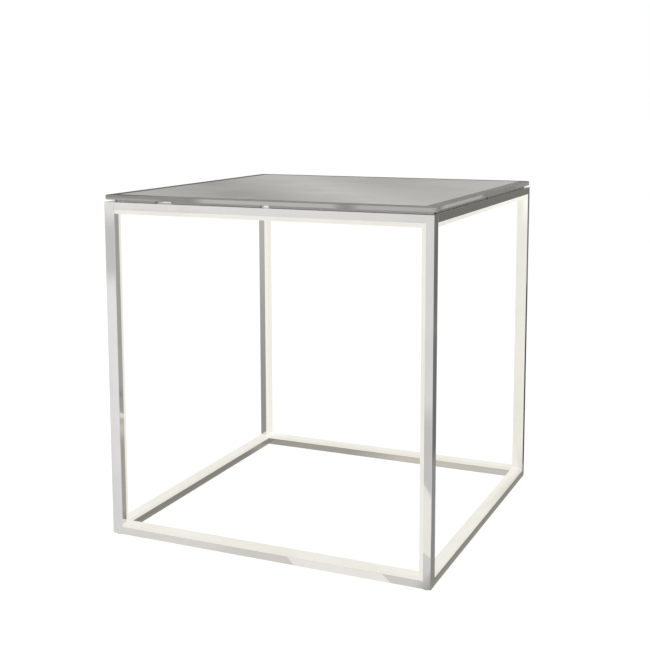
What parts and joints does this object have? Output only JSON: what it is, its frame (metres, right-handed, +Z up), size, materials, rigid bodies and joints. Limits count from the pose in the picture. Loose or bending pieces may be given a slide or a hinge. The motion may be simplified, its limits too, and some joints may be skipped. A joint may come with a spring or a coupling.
{
  "type": "led side table",
  "caption": "Cube-shaped side table with a slim chrome frame, opal light strips facing into the frame and a loose satin grey glass top.",
  "frame": {"origin": "centre of the table on the floor, under the middle of the glass", "axes": "+Z up, -Y towards the front side seen in the picture, +X to the right of it"},
  "size_m": [0.45, 0.45, 0.4585],
  "materials": {
    "polished_chrome": "polished",
    "opal_diffuser": "opal, lit from inside",
    "satin_glass": "satin grey, seen as nearly opaque",
    "glazing_tape": "matt grey foam",
    "plated_steel": "zinc plated",
    "circuit_board": "white flexible board",
    "pad_rubber": "clear silicone",
    "black_plastic": "moulded",
    "nickel_pin": "nickel plated",
    "lead_jacket": "soft plastic jacket"
  },
  "bodies": {
    "frame": {"front_bottom_channel": "polished_chrome", "front_right_leg_channel": "polished_chrome", "front_top_channel": "polished_chrome", "front_bottom_diffuser": "opal_diffuser", "front_right_leg_diffuser": "opal_diffuser", "front_top_diffuser": "opal_diffuser", "front_light_tape": "circuit_board", "front_right_bottom_bracket": "plated_steel", "front_right_top_bracket": "plated_steel", "front_right_foot_pad": "pad_rubber", "front_glazing_tape_a": "glazing_tape", "front_glazing_tape_b": "glazing_tape", "front_glazing_tape_c": "glazing_tape", "front_right_jumper_lead": "lead_jacket", "right_bottom_channel": "polished_chrome", "back_right_leg_channel": "polished_chrome", "right_top_channel": "polished_chrome", "right_bottom_diffuser": "opal_diffuser", "back_right_leg_diffuser": "opal_diffuser", "right_top_diffuser": "opal_diffuser", "right_light_tape": "circuit_board", "back_right_bottom_bracket": "plated_steel", "back_right_top_bracket": "plated_steel", "back_right_foot_pad": "pad_rubber", "right_glazing_tape_a": "glazing_tape", "right_glazing_tape_b": "glazing_tape", "back_bottom_channel": "polished_chrome", "back_left_leg_channel": "polished_chrome", "back_top_channel": "polished_chrome", "back_bottom_diffuser": "opal_diffuser", "back_left_leg_diffuser": "opal_diffuser", "back_top_diffuser": "opal_diffuser", "back_light_tape": "circuit_board", "back_left_bottom_bracket": "plated_steel", "back_left_top_bracket": "plated_steel", "back_left_foot_pad": "pad_rubber", "back_glazing_tape_a": "glazing_tape", "back_glazing_tape_b": "glazing_tape", "back_left_jumper_lead": "lead_jacket", "left_bottom_channel": "polished_chrome", "front_left_leg_channel": "polished_chrome", "left_top_channel": "polished_chrome", "left_bottom_diffuser": "opal_diffuser", "front_left_leg_diffuser": "opal_diffuser", "left_top_diffuser": "opal_diffuser", "left_light_tape": "circuit_board", "front_left_bottom_bracket": "plated_steel", "front_left_top_bracket": "plated_steel", "front_left_foot_pad": "pad_rubber", "left_glazing_tape_a": "glazing_tape", "left_glazing_tape_b": "glazing_tape", "front_left_jumper_lead": "lead_jacket", "socket_housing": "black_plastic", "socket_pin": "nickel_pin", "supply_lead": "lead_jacket"},
    "glass": {"glass_top": "satin_glass"}
  },
  "joints": [
    {"name": "glass_lift", "type": "slide", "parent": "frame", "child": "glass", "axis": [0, 0, 1], "range_m": [0, 0.1]}
  ]
}
